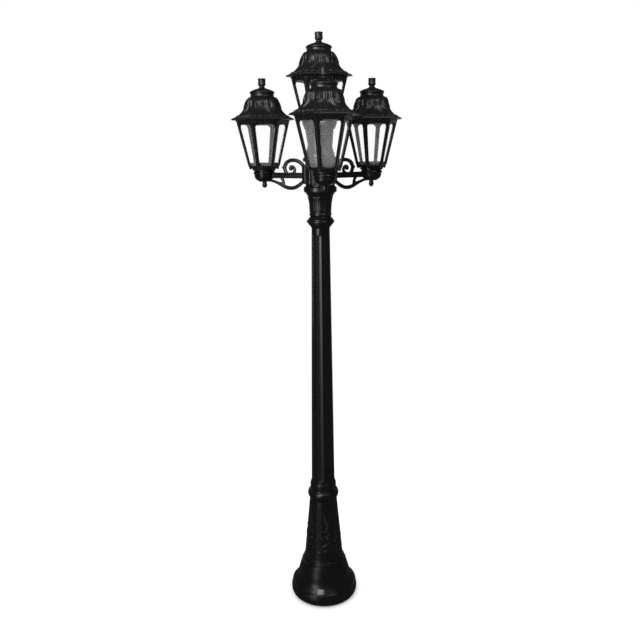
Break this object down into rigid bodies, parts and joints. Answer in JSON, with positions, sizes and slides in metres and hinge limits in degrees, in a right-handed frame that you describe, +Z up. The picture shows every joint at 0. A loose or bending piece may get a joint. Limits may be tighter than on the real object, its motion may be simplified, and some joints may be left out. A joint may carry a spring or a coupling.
{
  "type": "lamp post",
  "caption": "Free-standing garden lamp post: bell foot, fluted shaft, scroll arms at equal angles, and six-sided lanterns on them and on the centre.",
  "frame": {"origin": "on the ground at the centre of the anchor bolt circle, which is the post's axis", "axes": "+Z up along the post; -Y along the front arm; the other two arms lie at 30 and 150 degrees from +X"},
  "size_m": [0.5899, 0.5256, 2.0159],
  "materials": {
    "resin": "semi-gloss black moulded resin",
    "pane": "clear acrylic with a faint haze",
    "steel": "hot-dip galvanised",
    "screw": "bright stainless",
    "bright_plate": "satin",
    "lampholder": "black phenolic",
    "terminal": "cream polyamide",
    "lead": "black rubber sheath",
    "rubber": "black foam rubber"
  },
  "bodies": {
    "post": {"ground_plate": "steel", "core_tube": "steel", "base": "resin", "cover_plate": "bright_plate", "base_collar": "resin", "shaft": "resin", "collar_ring": "resin", "capital": "resin", "hub": "resin", "hub_cap": "resin", "terminal_block": "terminal", "arm_bolts": "steel", "arm_front": "resin", "arm_left": "resin", "arm_right": "resin", "lamp_leads": "lead"},
    "lantern_front": {"gallery_front": "resin", "lampholder_front": "lampholder", "stem_front": "steel", "cage_front": "resin", "panes_front": "pane", "gasket_front": "rubber"},
    "lid_front": {"roof_front": "resin", "vent_cap_front": "resin", "finial_front": "resin", "roof_screws_front": "screw"},
    "nut_front": {"ball_nut_front": "resin"},
    "lantern_left": {"gallery_left": "resin", "lampholder_left": "lampholder", "stem_left": "steel", "cage_left": "resin", "panes_left": "pane", "gasket_left": "rubber"},
    "lid_left": {"roof_left": "resin", "vent_cap_left": "resin", "finial_left": "resin", "roof_screws_left": "screw"},
    "nut_left": {"ball_nut_left": "resin"},
    "lantern_right": {"gallery_right": "resin", "lampholder_right": "lampholder", "stem_right": "steel", "cage_right": "resin", "panes_right": "pane", "gasket_right": "rubber"},
    "lid_right": {"roof_right": "resin", "vent_cap_right": "resin", "finial_right": "resin", "roof_screws_right": "screw"},
    "nut_right": {"ball_nut_right": "resin"},
    "lantern_top": {"gallery_top": "resin", "lampholder_top": "lampholder", "stem_top": "steel", "cage_top": "resin", "panes_top": "pane", "gasket_top": "rubber", "top_locknut": "steel"},
    "lid_top": {"roof_top": "resin", "vent_cap_top": "resin", "finial_top": "resin", "roof_screws_top": "screw"}
  },
  "joints": [
    {"name": "lantern_swivel_front", "type": "hinge", "parent": "post", "child": "lantern_front", "pos_m": [0, -0.2155, 1.583], "axis": [0, 0, 1], "range_deg": [-170, 170]},
    {"name": "roof_lift_front", "type": "slide", "parent": "lantern_front", "child": "lid_front", "axis": [0, 0, 1], "range_m": [0, 0.11]},
    {"name": "nut_spin_front", "type": "hinge", "parent": "lantern_front", "child": "nut_front", "pos_m": [0, -0.2155, 1.539], "axis": [0, 0, 1], "continuous": true},
    {"name": "lantern_swivel_left", "type": "hinge", "parent": "post", "child": "lantern_left", "pos_m": [-0.18663, 0.10775, 1.583], "axis": [0, 0, 1], "range_deg": [-170, 170]},
    {"name": "roof_lift_left", "type": "slide", "parent": "lantern_left", "child": "lid_left", "axis": [0, 0, 1], "range_m": [0, 0.11]},
    {"name": "nut_spin_left", "type": "hinge", "parent": "lantern_left", "child": "nut_left", "pos_m": [-0.18663, 0.10775, 1.539], "axis": [0, 0, 1], "continuous": true},
    {"name": "lantern_swivel_right", "type": "hinge", "parent": "post", "child": "lantern_right", "pos_m": [0.18663, 0.10775, 1.583], "axis": [0, 0, 1], "range_deg": [-170, 170]},
    {"name": "roof_lift_right", "type": "slide", "parent": "lantern_right", "child": "lid_right", "axis": [0, 0, 1], "range_m": [0, 0.11]},
    {"name": "nut_spin_right", "type": "hinge", "parent": "lantern_right", "child": "nut_right", "pos_m": [0.18663, 0.10775, 1.539], "axis": [0, 0, 1], "continuous": true},
    {"name": "lantern_swivel_top", "type": "hinge", "parent": "post", "child": "lantern_top", "pos_m": [0, 0, 1.7125], "axis": [0, 0, 1], "range_deg": [-170, 170]},
    {"name": "roof_lift_top", "type": "slide", "parent": "lantern_top", "child": "lid_top", "axis": [0, 0, 1], "range_m": [0, 0.11]}
  ]
}
